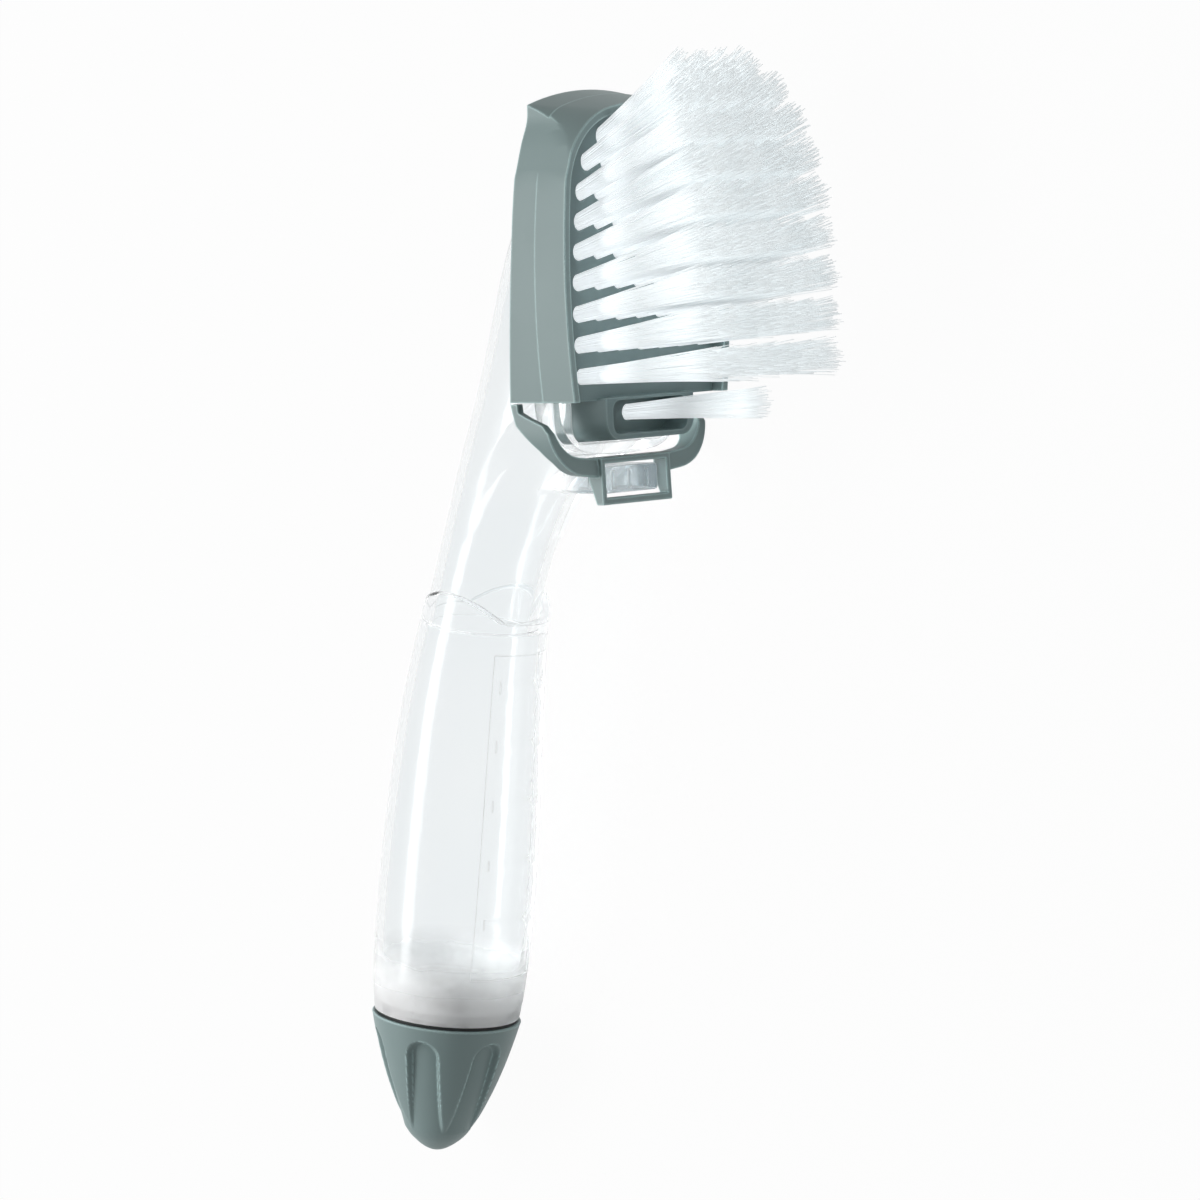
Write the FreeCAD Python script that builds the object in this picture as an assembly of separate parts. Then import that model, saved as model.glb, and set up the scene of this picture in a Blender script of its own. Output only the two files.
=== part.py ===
import FreeCAD, Part
import math
import os
from FreeCAD import Vector

os.makedirs("parts", exist_ok=True)

# Dish wand with a clear refillable handle and a clip-on brush head. Millimetres.
# Profile coordinates: "along" runs from the tip of the head towards the cap, "out" from the
# back of the head towards the bristle tips, "side" across the wand. The symmetry plane is side = 0.

# Brush head shell
head_half_width = 30.0
rim_out = 17.0             # front edge of the shell's side wall
shell_wall = 2.0
shell_cut = 72.0           # the full-height shell ends here and the strap begins
back_of_tip = 0.0          # the shell's back edge, out, at the tip
back_of_cut = -2.7         # and where the strap begins
back_flat = 34.0           # length of straight back edge before it drops
ledge_width = 1.4
ledge_height = 2.0
step_out = 7.4             # the rear part of the side wall is set in behind this line
step_depth = 0.35
back_tip = -1.5
back_tip_radius = 82.0
back_tip_corner = 1.5
back_widest_at = 50.0
back_side_radius = 180.0
rim_tip = 2.7
rim_tip_radius = 60.0
rim_tip_corner = 20.5
rim_widest_at = 44.0
rim_side_radius = 200.0
head_toe = 90.5
head_toe_radius = 85.0
head_toe_corner = 11.5
# the scraping edge at the tip is narrower than the head, and runs into its side along this curve
ear_curve = [(4.5, 21.65), (8.6, 22.7), (10.9, 23.8), (14.6, 25.2), (17.8, 26.3), (24.0, 28.8)]
ear_flare = 0.08           # side growth of that curve for each millimetre outwards

# Release strap and its latch loop
strap_gap = 0.3
strap_half_width = 29.0
strap_widest_at = 78.0
strap_side_radius = 50.0
strap_toe = 90.7
strap_toe_radius = 150.0
strap_toe_corner = 12.3
strap_wall = 2.1
strap_toe_wall = 4.3
strap_inner_corner = 9.0
strap_root_back = -2.4
strap_root = 2.2           # depth of the living hinge
strap_front = 9.2          # front edge of the strap's sides
strap_toe_front = 10.4
strap_toe_back = 7.3
strap_rise = 5.0           # length over which the front edge rises from the root
loop_half_width = 12.6
loop_bar = 1.4
loop_top = 85.7
loop_height = 11.1
loop_top_bar = 1.4
loop_bottom_bar = 1.6
loop_front = 11.2
loop_bottom_front = 11.7
loop_bottom_depth = 2.2

# Tuft block, tufts and anchors
face_out = 13.9
block_thickness = 6.6
block_fit = 0.15
boss_base_half_width = 17.4
boss_top_half_width = 15.9
boss_out = 16.3
boss_back = 2.1
boss_gap = 0.3
boss_toe = 82.2
boss_corner = 4.5
trough_half_width = 13.6
trough_out = 9.2
trough_wall = 2.0
row_pitch = 7.3
last_row = 66.2
row_tufts = [4, 6, 7, 7, 7, 7, 7, 7, 7]
row_spans = [23.1, 34.6, 39.2, 41.0, 42.4, 43.4, 44.0, 43.8, 43.2]   # between the outer tufts' axes
row_shifts = [2.8, 1.2, 0.9, 0.5, 0.2, 0.0, 0.0, 0.0, 0.0]   # the rows stand closer towards the tip
tuft_root_radius = 1.9
tuft_tip_radius = 3.3
tuft_hole_depth = 4.6
tuft_sides = 8
tuft_hole_fit = 0.06
tuft_length = 40.5         # from the face to the trimmed end
tip_tuft_length = 37.5
last_row_tilt = 4.0        # tufts fan out towards the tip of the head
fan_step = 3.5
toe_tuft_at = 75.6
toe_tuft_tilt = 3.5
anchor_length = 3.0
anchor_width = 1.6
anchor_thickness = 0.4
feed_hole_radius = 1.1

# Handle: grip, neck and shoe
wall = 2.0
rim_along = 221.1          # centre of the grip's lower end
rim_depth = -54.5
grip_angle = 8.9           # the grip leans back from the head's length
bend_start = 62.0          # distance up the grip where its axis starts to curve to the neck
bend_rate = 0.0016
grip_profile = [(0.0, 17.6), (8.0, 18.45), (18.0, 18.9), (28.0, 19.0), (42.0, 18.75), (56.0, 18.2),
                (70.0, 17.4), (85.0, 16.25), (98.0, 15.2), (110.0, 14.4)]
grip_top = 108.0           # distances up the grip are measured from its lower end
tongue_top = 98.5
tongue_half_width = 7.4
panel_bottom = 12.0
panel_top = 91.0
panel_angle = 68.0
panel_depth = 0.5
ridge_first = 25.6
ridge_pitch = 14.4
ridge_count = 5
ridge_angle = 54.0
ridge_radius = 2.6
ridge_height = 0.5
neck_angle = 18.0
# neck sections: along, out, angle, half width, half depth
neck_sections = [(136.0, -41.0, 9.0, 13.2, 13.2), (124.0, -38.3, 13.5, 13.4, 13.4),
                 (113.0, -34.6, 17.5, 13.3, 13.3), (100.3, -29.6, 18.0, 13.1, 14.1),
                 (85.9, -22.7, 18.0, 12.8, 16.2), (69.7, -15.2, 18.0, 12.6, 18.0),
                 (52.2, -12.4, 18.5, 12.2, 15.2), (35.8, -9.4, 20.0, 11.2, 12.1),
                 (22.7, -5.9, 22.0, 8.7, 8.4), (13.6, -2.9, 24.0, 5.4, 5.3),
                 (9.6, -1.2, 26.0, 2.6, 2.9), (8.4, -0.6, 26.0, 0.8, 1.2)]
throat_sections = [(112.0, -34.4, 18.0, 10.5, 10.5), (99.0, -27.0, 38.0, 14.2, 12.4),
                   (89.0, -19.0, 58.0, 15.0, 12.2), (81.0, -8.2, 75.0, 17.2, 11.4),
                   (77.5, 1.2, 90.0, 19.6, 9.3)]
neck_cavity_sections = 9   # the cavity follows the neck as far as this section
shoe_half_width = 23.6
shoe_tip = 6.6
shoe_tip_radius = 56.0
shoe_tip_corner = 16.0
shoe_back = -0.5
shoe_out = 7.0
shoe_floor = 2.0
shoe_side_wall = 5.6
shoe_toe_wall = 2.9
shoe_toe = boss_toe + boss_gap + shoe_toe_wall
catch_half_width = 10.0
catch_fit = 0.9            # to the loop's opening, above and below
catch_out = 9.3
catch_root = -13.0
catch_root_drop = 4.0
catch_rib_count = 3
catch_rib_radius = 0.8

# Outlet in the shoe
outlet_at = last_row - 3.5 * row_pitch
outlet_radius = 2.2
spigot_radius = 4.4
spigot_height = 3.2
valve_radius = 5.8
valve_end = 1.2
valve_flange_radius = 7.2
valve_flange = 1.0
collar_radius = 7.4
collar_height = 2.4
fit = 0.06

# Mouth, gasket and cap
mouth_radius = 12.2
mouth_bore = 10.2
mouth_length = 8.6
shoulder = 2.4
gasket_thickness = 0.8
gasket_radius = 17.2
gasket_bore = 12.7
gasket_fit = 0.03
cap_rim_radius = 18.1
cap_bore = 12.8
cap_bore_depth = 9.6
cap_length = 34.6
cap_profile = [(7.0, 16.6), (13.5, 14.7), (20.0, 12.35), (26.5, 9.4), (31.4, 6.0)]
cap_cavity = [(9.6, 9.6), (17.0, 8.4), (25.0, 4.6)]
flute_count = 6
flute_phase = -8.0         # where the first flute stops, from the front of the grip
flute_width = 8.4
flute_start = 4.4
flute_floor = [(3.6, 16.0), (13.5, 13.1), (20.0, 11.05), (26.5, 8.9), (33.0, 6.9)]

# Rest: the wand lies on its side, on the side of the head and the side of the grip
grip_widest_at = 28.0


def point(along, out, side=0.0):
    """A point of the wand's profile, with the bristles towards -Y."""
    return Vector(-along, -out, side)


def plan_arcs(plan, inset):
    """Corner data of a head outline: eight tangent arcs, moved inwards by inset."""
    tip_centre = plan["tip"] + plan["tip_radius"]
    toe_centre = plan["toe"] - plan["toe_radius"]
    side_centre = (plan["widest_at"], plan["half_width"] - plan["side_radius"])
    side_radius = plan["side_radius"] - inset
    ends = []
    for centre, radius, corner in ((tip_centre, plan["tip_radius"] - inset, plan["tip_corner"]),
                                   (toe_centre, plan["toe_radius"] - inset, plan["toe_corner"])):
        corner = max(corner - inset, 0.4)
        reach_end = radius - corner
        reach_side = side_radius - corner
        gap_along = side_centre[0] - centre
        gap_side = side_centre[1]
        span = math.hypot(gap_along, gap_side)
        share = (reach_end ** 2 - reach_side ** 2 + span ** 2) / (2.0 * span)
        height = math.sqrt(reach_end ** 2 - share ** 2)
        foot = (centre + gap_along * share / span, gap_side * share / span)
        lean = (-gap_side * height / span, gap_along * height / span)
        picks = [(foot[0] + sign * lean[0], foot[1] + sign * lean[1]) for sign in (1, -1)]
        middle = max(picks, key=lambda pick: pick[1])
        ends.append((centre, radius, corner, middle))
    return ends, side_centre, side_radius


def outline(plan, out, inset=0.0):
    """Closed wire of a head outline on the plane at "out"."""
    (tip, toe), side_centre, side_radius = plan_arcs(plan, inset)

    def touch(end, centre, radius):
        middle = end[3]
        reach = math.hypot(middle[0] - centre[0], middle[1] - centre[1])
        return (centre[0] + (middle[0] - centre[0]) * radius / reach,
                centre[1] + (middle[1] - centre[1]) * radius / reach)

    def bulge(centre, radius, first, second):
        mean = ((first[0] + second[0]) / 2 - centre[0], (first[1] + second[1]) / 2 - centre[1])
        reach = math.hypot(mean[0], mean[1])
        return (centre[0] + mean[0] * radius / reach, centre[1] + mean[1] * radius / reach)

    tip_touch = touch(tip, (tip[0], 0.0), tip[1])
    tip_side = touch(tip, side_centre, side_radius)
    toe_side = touch(toe, side_centre, side_radius)
    toe_touch = touch(toe, (toe[0], 0.0), toe[1])
    tip_bulge = bulge(tip[3], tip[2], tip_touch, tip_side)
    toe_bulge = bulge(toe[3], toe[2], toe_touch, toe_side)
    side_top = bulge(side_centre, side_radius, tip_side, toe_side)
    tip_top = (tip[0] - tip[1], 0.0)
    toe_top = (toe[0] + toe[1], 0.0)

    def spot(pair, sign):
        return point(pair[0], out, sign * pair[1])

    arcs = [(spot(tip_touch, -1), spot(tip_top, 1), spot(tip_touch, 1)),
            (spot(tip_touch, 1), spot(tip_bulge, 1), spot(tip_side, 1)),
            (spot(tip_side, 1), spot(side_top, 1), spot(toe_side, 1)),
            (spot(toe_side, 1), spot(toe_bulge, 1), spot(toe_touch, 1)),
            (spot(toe_touch, 1), spot(toe_top, 1), spot(toe_touch, -1)),
            (spot(toe_touch, -1), spot(toe_bulge, -1), spot(toe_side, -1)),
            (spot(toe_side, -1), spot(side_top, -1), spot(tip_side, -1)),
            (spot(tip_side, -1), spot(tip_bulge, -1), spot(tip_touch, -1))]
    return Part.Wire([Part.Arc(*arc).toShape() for arc in arcs])


def prism(plan, low, high, inset=0.0):
    """Straight solid of a head outline between two "out" planes."""
    return Part.Face(outline(plan, low, inset)).extrude(Vector(0, low - high, 0))


def slab(along_from, along_to, out_from, out_to, half_width):
    """Box between two places along the wand, centred on the symmetry plane."""
    corner = point(along_to, out_to, -half_width)
    return Part.makeBox(along_to - along_from, out_to - out_from, 2 * half_width, corner)


def profile_prism(corners, half_width):
    """Polygon of (along, out) corners carried across the wand."""
    spots = [point(along, out, -half_width) for along, out in corners]
    return Part.Face(Part.makePolygon(spots + spots[:1])).extrude(Vector(0, 0, 2 * half_width))


def post(along, out_from, out_to, radius, side=0.0):
    """Cylinder that stands on the head in the bristle direction."""
    return Part.makeCylinder(radius, out_to - out_from, point(along, out_from, side), Vector(0, -1, 0))


back_plan = {"tip": back_tip, "tip_radius": back_tip_radius, "tip_corner": back_tip_corner,
             "half_width": head_half_width, "widest_at": back_widest_at,
             "side_radius": back_side_radius, "toe": head_toe, "toe_radius": head_toe_radius,
             "toe_corner": head_toe_corner}
rim_plan = {"tip": rim_tip, "tip_radius": rim_tip_radius, "tip_corner": rim_tip_corner,
            "half_width": head_half_width, "widest_at": rim_widest_at,
            "side_radius": rim_side_radius, "toe": head_toe, "toe_radius": head_toe_radius,
            "toe_corner": head_toe_corner}
strap_plan = {"tip": strap_widest_at - 33.0, "tip_radius": strap_side_radius,
              "tip_corner": strap_toe_corner, "half_width": strap_half_width,
              "widest_at": strap_widest_at, "side_radius": strap_side_radius, "toe": strap_toe,
              "toe_radius": strap_toe_radius, "toe_corner": strap_toe_corner}
strap_hollow = dict(strap_plan, half_width=strap_half_width - strap_wall,
                    toe=strap_toe - strap_toe_wall, toe_corner=strap_inner_corner)
shoe_plan = {"tip": shoe_tip, "tip_radius": shoe_tip_radius, "tip_corner": shoe_tip_corner,
             "half_width": shoe_half_width, "widest_at": back_widest_at,
             "side_radius": back_side_radius, "toe": shoe_toe, "toe_radius": head_toe_radius,
             "toe_corner": head_toe_corner}
back_reach = 4.0           # the head's loft starts this far behind its back edge


def head_body(inset):
    """Solid of the whole head outside: square corners at the back, round ones at the rim."""
    wires = [outline(back_plan, -back_reach, inset), outline(rim_plan, rim_out, inset)]
    body = Part.makeLoft(wires, True, True)
    for sign in (1, -1):
        body = body.cut(ear_notch(sign))
    return body


def ear_notch(sign):
    """Waste beside the scraping edge, leaning outwards towards the rim."""
    start = -2 * back_reach
    far = head_half_width + back_reach
    shift = start * ear_flare
    spots = [point(along, start, sign * (side + shift)) for along, side in ear_curve]
    curve = Part.BSplineCurve()
    curve.interpolate(spots, InitialTangent=Vector(-1, 0, 0), FinalTangent=Vector(-1, 0, sign * 0.4))
    before = point(-back_reach, start, spots[0].z)
    corners = [spots[-1], point(ear_curve[-1][0], start, sign * far), point(-back_reach, start, sign * far),
               before, spots[0]]
    edges = [curve.toShape()] + [Part.makeLine(*pair) for pair in zip(corners, corners[1:])]
    height = rim_out + 3 * back_reach
    return Part.Face(Part.Wire(edges)).extrude(Vector(0, -height, sign * height * ear_flare))


def stepped_head():
    """Head outside with its rear part set in behind the step line."""
    far = head_toe + 10.0
    front = head_body(0.0).common(slab(-5.0, far, step_out, rim_out + 1.0, 40.0))
    rear = head_body(step_depth).common(slab(-5.0, far, -back_reach, step_out, 40.0))
    return front.fuse(rear)


def behind_back_edge():
    """Everything behind the shell's back edge: straight near the tip, then dropping in an arc."""
    middle_along = (back_flat + shell_cut) / 2
    middle_out = back_of_tip + (back_of_cut - back_of_tip) * 0.32
    edges = [Part.makeLine(point(-5, back_of_tip), point(back_flat, back_of_tip)),
             Part.Arc(point(back_flat, back_of_tip), point(middle_along, middle_out),
                      point(shell_cut, back_of_cut)).toShape(),
             Part.makeLine(point(shell_cut, back_of_cut), point(shell_cut + 10, back_of_cut)),
             Part.makeLine(point(shell_cut + 10, back_of_cut), point(shell_cut + 10, -20)),
             Part.makeLine(point(shell_cut + 10, -20), point(-5, -20)),
             Part.makeLine(point(-5, -20), point(-5, back_of_tip))]
    face = Part.Face(Part.Wire(edges))
    face.translate(Vector(0, 0, -40))
    return face.extrude(Vector(0, 0, 80))


def make_head_shell():
    """Side wall of the brush head with its rim, and a ledge that carries the tuft block."""
    shell = stepped_head().cut(prism(rim_plan, -2 * back_reach, rim_out + 1.0, shell_wall))
    ledge_top = face_out - block_thickness
    ledge = prism(rim_plan, ledge_top - ledge_height, ledge_top, shell_wall - 0.05)
    ledge = ledge.cut(prism(rim_plan, -1.0, ledge_top + 1.0, shell_wall + ledge_width))
    shell = shell.fuse(ledge)
    shell = shell.cut(slab(shell_cut, head_toe + 10.0, -10.0, rim_out + 5.0, 40.0))
    shell = shell.cut(behind_back_edge())
    return shell.removeSplitter()


def make_release_strap():
    """U strap round the lower end of the head, with the loop that clips over the catch."""
    root = shell_cut + strap_gap
    end = strap_toe + 1.0
    side_view = [(root, strap_root_back), (root + 5.0, strap_root_back + 1.7),
                 (root + 11.0, strap_toe_back - 2.2), (root + 14.0, strap_toe_back - 0.2),
                 (end, strap_toe_back), (end, strap_toe_front), (strap_toe - 3.0, strap_toe_front),
                 (root + strap_rise + 2.0, strap_front), (root + strap_rise, strap_front - 1.6),
                 (root + 0.6 * strap_rise, strap_root_back + strap_root + 2.6),
                 (root + 0.4 * strap_rise, strap_root_back + strap_root + 0.4),
                 (root, strap_root_back + strap_root)]
    band = prism(strap_plan, -back_reach, rim_out).cut(prism(strap_hollow, -2 * back_reach, rim_out + 1.0))
    strap = band.common(profile_prism(side_view, 40.0))
    strap = strap.fuse(latch_loop())
    opening = slab(loop_top + loop_top_bar, loop_top + loop_height - loop_bottom_bar,
                   -10.0, 30.0, loop_half_width - loop_bar)
    return strap.cut(opening).removeSplitter()


def latch_loop():
    """Plate of the latch loop before its opening is cut: its side bars thin towards the end."""
    bottom = loop_top + loop_height
    corners = [(loop_top, strap_toe_back), (strap_toe, strap_toe_back - 0.2),
               (bottom, loop_bottom_front - loop_bottom_depth), (bottom, loop_bottom_front),
               (loop_top, loop_front)]
    return profile_prism(corners, loop_half_width)


def tuft_rows():
    """Places of all tufts: one list of (along, side) for each row, the tip row first."""
    rows = []
    last = len(row_tufts) - 1
    for number, count in enumerate(row_tufts):
        along = last_row - (last - number) * row_pitch + row_shifts[number]
        pitch = row_spans[number] / (count - 1)
        rows.append([(along, (place - (count - 1) / 2) * pitch) for place in range(count)])
    return rows


def row_tilt(number):
    """Tilt of a row's tufts towards the tip of the head, in degrees."""
    return last_row_tilt + fan_step * (len(row_tufts) - 1 - number)


def tuft_axis(tilt):
    """Direction of a tuft from its root to its trimmed end."""
    lean = math.radians(tilt)
    return Vector(math.sin(lean), -math.cos(lean), 0)


def along_tuft(root, axis, distance):
    """Point of a tuft's axis, measured from the face."""
    return root + Vector(axis).multiply(distance)


def tuft_ring(centre, axis, radius):
    """Closed polygon of a bundle's outline, square to its axis."""
    level = Vector(0, 0, 1)
    cross = axis.cross(level)
    spots = []
    for number in range(tuft_sides + 1):
        turn = 2 * math.pi * (number % tuft_sides + 0.5) / tuft_sides
        spots.append(centre + Vector(level).multiply(radius * math.sin(turn))
                     + Vector(cross).multiply(radius * math.cos(turn)))
    return Part.makePolygon(spots)


def make_tuft(along, side, out, tilt, length):
    """Bundle of bristles, gathered at its root and opening towards its trimmed end."""
    axis = tuft_axis(tilt)
    root = point(along, out, side)
    start = anchor_width + 0.2 - tuft_hole_depth
    rings = [tuft_ring(along_tuft(root, axis, distance), axis, radius)
             for distance, radius in ((start, tuft_root_radius), (0.4, tuft_root_radius),
                                      (length, tuft_tip_radius))]
    return Part.makeLoft(rings, True, True)


def tuft_hole(along, side, out, tilt):
    """Drilled hole that a tuft is set in."""
    axis = tuft_axis(tilt)
    bottom = along_tuft(point(along, out, side), axis, -tuft_hole_depth)
    return Part.makeCylinder(tuft_root_radius + tuft_hole_fit, tuft_hole_depth + 3.0, bottom, axis)


def make_anchor(along, side, out, tilt):
    """Flat wire across the bottom of a tuft's hole."""
    corner = Vector(-anchor_length / 2, -anchor_thickness / 2, 0)
    wire = Part.makeBox(anchor_length, anchor_thickness, anchor_width, corner)
    wire.Placement = FreeCAD.Placement(
        along_tuft(point(along, out, side), tuft_axis(tilt), 0.08 - tuft_hole_depth),
        FreeCAD.Rotation(Vector(0, 0, 1), tuft_axis(tilt)))
    return wire


def row_length(number):
    """Tufts are trimmed shorter towards the tip of the head."""
    share = max(0.0, 1.0 - number / 4.0)
    return tuft_length + (tip_tuft_length - tuft_length) * share


def make_boss(gap, top_half_width):
    """Boss below the face that plugs into the shoe, with drafted walls, or its room in the shoe."""
    wires = []
    for out, width in ((boss_back - gap, boss_base_half_width), (boss_out, top_half_width)):
        half = width + gap
        toe = boss_toe + gap - (boss_base_half_width - width) * 0.5
        start = shell_cut - 6.0
        corner = boss_corner
        spots = [point(start, out, half), point(toe - corner, out, half),
                 point(toe, out, half - corner), point(toe, out, corner - half),
                 point(toe - corner, out, -half), point(start, out, -half)]
        turn = corner * (1 - math.sqrt(0.5))
        edges = [Part.makeLine(spots[0], spots[1]),
                 Part.Arc(spots[1], point(toe - turn, out, half - turn), spots[2]).toShape(),
                 Part.makeLine(spots[2], spots[3]),
                 Part.Arc(spots[3], point(toe - turn, out, turn - half), spots[4]).toShape(),
                 Part.makeLine(spots[4], spots[5]),
                 Part.makeLine(spots[5], spots[0])]
        wires.append(Part.Wire(edges))
    return Part.makeLoft(wires, True, True)


def make_tuft_block(rows):
    """Plate with the tuft holes, the boss at its lower end and the feed hole."""
    back = face_out - block_thickness
    block = prism(rim_plan, back, face_out, shell_wall + block_fit)
    block = block.cut(slab(shell_cut, head_toe + 10, 0.0, rim_out, 40.0))
    boss = make_boss(0.0, boss_top_half_width).cut(slab(0.0, shell_cut - 0.5, 0.0, rim_out + 1.0, 40.0))
    block = block.fuse(boss)
    trough = slab(shell_cut + 0.2, boss_toe - trough_wall, trough_out, rim_out + 1.0, trough_half_width)
    block = block.cut(trough.makeFillet(2.5, [edge for edge in trough.Edges if stands(edge)]))
    holes = [tuft_hole(along, side, face_out, row_tilt(number))
             for number, row in enumerate(rows) for along, side in row]
    holes.append(tuft_hole(toe_tuft_at, 0.0, trough_out, toe_tuft_tilt))
    holes.append(post(outlet_at, back - 1.0, face_out + 1.0, feed_hole_radius))
    return block.cut(Part.makeCompound(holes)).removeSplitter()


def stands(edge):
    """Whether an edge runs in the bristle direction."""
    if len(edge.Vertexes) < 2:
        return False
    run = edge.Vertexes[0].Point - edge.Vertexes[-1].Point
    return abs(run.x) < 1e-6 and abs(run.z) < 1e-6


def section_wire(values, inset=0.0, spots=16):
    """Smooth closed wire of one neck section, starting at its front."""
    along, out, angle, half_width, half_depth = values
    lean = math.radians(angle)
    front = point(math.sin(lean), math.cos(lean)).multiply(half_depth - inset)
    across = Vector(0, 0, half_width - inset)
    ring = []
    for number in range(spots):
        turn = 2 * math.pi * number / spots
        ring.append(point(along, out) + Vector(front).multiply(math.cos(turn))
                    + Vector(across).multiply(math.sin(turn)))
    curve = Part.BSplineCurve()
    curve.interpolate(ring, PeriodicFlag=True)
    return Part.Wire([curve.toShape()])


def tube(sections, inset=0.0):
    """Smooth solid through a list of sections."""
    return Part.makeLoft([section_wire(values, inset) for values in sections], True, False)


def on_grip(shape):
    """Moves a shape made round the X axis onto the grip's axis, its front to the bristle side."""
    shape.rotate(Vector(0, 0, 0), Vector(0, 0, 1), -grip_angle)
    shape.translate(point(rim_along, rim_depth))
    return shape


def turned(corners):
    """Solid of (distance up the axis, radius) corners turned about the X axis."""
    spots = [Vector(up, -radius, 0) for up, radius in corners]
    face = Part.Face(Part.makePolygon(spots + spots[:1]))
    return face.revolve(Vector(0, 0, 0), Vector(1, 0, 0), 360)


def grip_body(offset):
    """Solid through the grip's round sections, its axis curving forwards near the top."""
    rings = []
    for up, radius in grip_profile:
        past = max(up - bend_start, 0.0)
        lean = math.atan(2 * bend_rate * past)
        centre = Vector(up, -bend_rate * past ** 2, 0)
        normal = Vector(math.cos(lean), -math.sin(lean), 0)
        rings.append(Part.Wire([Part.Circle(centre, normal, radius + offset).toShape()]))
    return Part.makeLoft(rings, True, False)


def grip_front(up, offset):
    """Point on the grip's front line at a distance up the axis."""
    below = max(item for item in grip_profile if item[0] <= up)
    above = min(item for item in grip_profile if item[0] > up)
    share = (up - below[0]) / (above[0] - below[0])
    radius = below[1] + (above[1] - below[1]) * share
    past = max(up - bend_start, 0.0)
    return Vector(up, -bend_rate * past ** 2 - radius - offset, 0)


def wedge(low, high, half_angle):
    """Sector about the X axis, centred on the front."""
    far = 30.0
    across = far * math.tan(math.radians(half_angle))
    spots = [Vector(low, 0, 0), Vector(low, -far, across), Vector(low, -far, -across), Vector(low, 0, 0)]
    return Part.Face(Part.makePolygon(spots)).extrude(Vector(high - low, 0, 0))


def make_grip():
    """Outside of the grip: swelling body, tongue for the neck, finger panel with ridges."""
    grip = grip_body(0.0)
    half = tongue_half_width
    wide = grip_profile[0][1]
    corners = [(tongue_top, -half), (tongue_top, half), (grip_top - 0.6, wide), (grip_top + 20, wide),
               (grip_top + 20, -wide), (grip_top - 0.6, -wide)]
    spots = [Vector(up, 20, side) for up, side in corners]
    grip = grip.cut(Part.Face(Part.makePolygon(spots + spots[:1])).extrude(Vector(0, -60, 0)))
    skin = grip_body(1.0).cut(grip_body(-panel_depth))
    grip = grip.cut(skin.common(wedge(panel_bottom, panel_top, panel_angle / 2)))
    for number in range(ridge_count):
        grip = grip.fuse(make_ridge(ridge_first + number * ridge_pitch))
    return grip


def make_ridge(up):
    """Low rounded ridge across the finger panel."""
    centre = grip_front(up, -panel_depth) + Vector(0, ridge_radius - ridge_height, 0)
    circle = Part.Wire([Part.Circle(centre, Vector(0, 0, 1), ridge_radius).toShape()])
    ridge = Part.Face(circle).revolve(Vector(0, 0, 0), Vector(1, 0, 0), ridge_angle)
    ridge.rotate(Vector(0, 0, 0), Vector(1, 0, 0), -ridge_angle / 2)
    return ridge


def make_shoe():
    """Tray on the handle's upper end that the brush head fits over."""
    shoe = prism(shoe_plan, shoe_back, shoe_out)
    floor = shoe_back + shoe_floor
    pocket = prism(shoe_plan, floor, shoe_out + 1.0, shoe_side_wall)
    return shoe.cut(pocket).cut(make_boss(boss_gap, boss_base_half_width))


def make_catch():
    """Block on the throat that passes through the latch loop, ribbed on its front."""
    top = loop_top + loop_top_bar + catch_fit
    bottom = loop_top + loop_height - loop_bottom_bar - catch_fit
    block = profile_prism([(top, catch_root), (top, catch_out), (bottom, catch_out),
                           (bottom, catch_root - catch_root_drop)], catch_half_width)
    block = block.makeFillet(1.0, [edge for edge in block.Edges if stands(edge)])
    for number in range(catch_rib_count):
        side = (number - (catch_rib_count - 1) / 2) * catch_half_width * 0.6
        start = point(top + 1.0, catch_out - 0.5, side)
        rib = Part.makeCylinder(catch_rib_radius, bottom - top - 2.0, start, Vector(-1, 0, 0))
        block = block.fuse(rib)
    return block


def make_handle():
    """Clear one-piece handle: grip, neck, throat, shoe and catch, hollow inside."""
    outside = on_grip(make_grip())
    outside = outside.fuse(tube(neck_sections))
    outside = outside.fuse(tube(throat_sections))
    outside = outside.cut(slab(0.0, shoe_toe, shoe_back + 0.2, shoe_out + 5.0, 40.0))
    outside = outside.cut(profile_prism([(shoe_toe - 1, shoe_back + 1.4), (shoe_toe - 1, 20), (120, 20),
                                         (120, shoe_back + 1.4)], 40.0))
    outside = outside.fuse(make_shoe())
    outside = outside.fuse(make_catch())
    floor = shoe_back + shoe_floor
    outside = outside.fuse(post(outlet_at, floor - 0.1, floor + spigot_height, spigot_radius))
    mouth = Part.makeCylinder(mouth_radius, mouth_length + 1.0, Vector(-mouth_length, 0, 0), Vector(1, 0, 0))
    outside = outside.fuse(on_grip(mouth))
    reach = slab(3.0 - tongue_top, -shoulder, -60.0, 60.0, 60.0)
    inside = on_grip(grip_body(-wall).common(reach))
    inside = inside.fuse(tube(neck_sections[:neck_cavity_sections], wall))
    bore = Part.makeCylinder(mouth_bore, mouth_length + shoulder + 3.0, Vector(-mouth_length - 1.0, 0, 0),
                             Vector(1, 0, 0))
    inside = inside.fuse(on_grip(bore))
    inside = inside.fuse(post(outlet_at, -9.0, floor + spigot_height + 1.0, outlet_radius))
    return outside.cut(inside).removeSplitter()


def make_outlet_valve():
    """Silicone cup with a flange, stretched over the outlet spigot."""
    floor = shoe_back + shoe_floor
    top = floor + spigot_height
    cup = post(outlet_at, floor + fit, top + fit + valve_end, valve_radius)
    cup = cup.fuse(post(outlet_at, floor + fit, floor + valve_flange, valve_flange_radius))
    slit = slab(outlet_at - 2.0, outlet_at + 2.0, top, top + valve_end + 1.0, 0.12)
    cup = cup.cut(post(outlet_at, floor, top + fit, spigot_radius + fit))
    return cup.cut(slit).removeSplitter()


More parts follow.
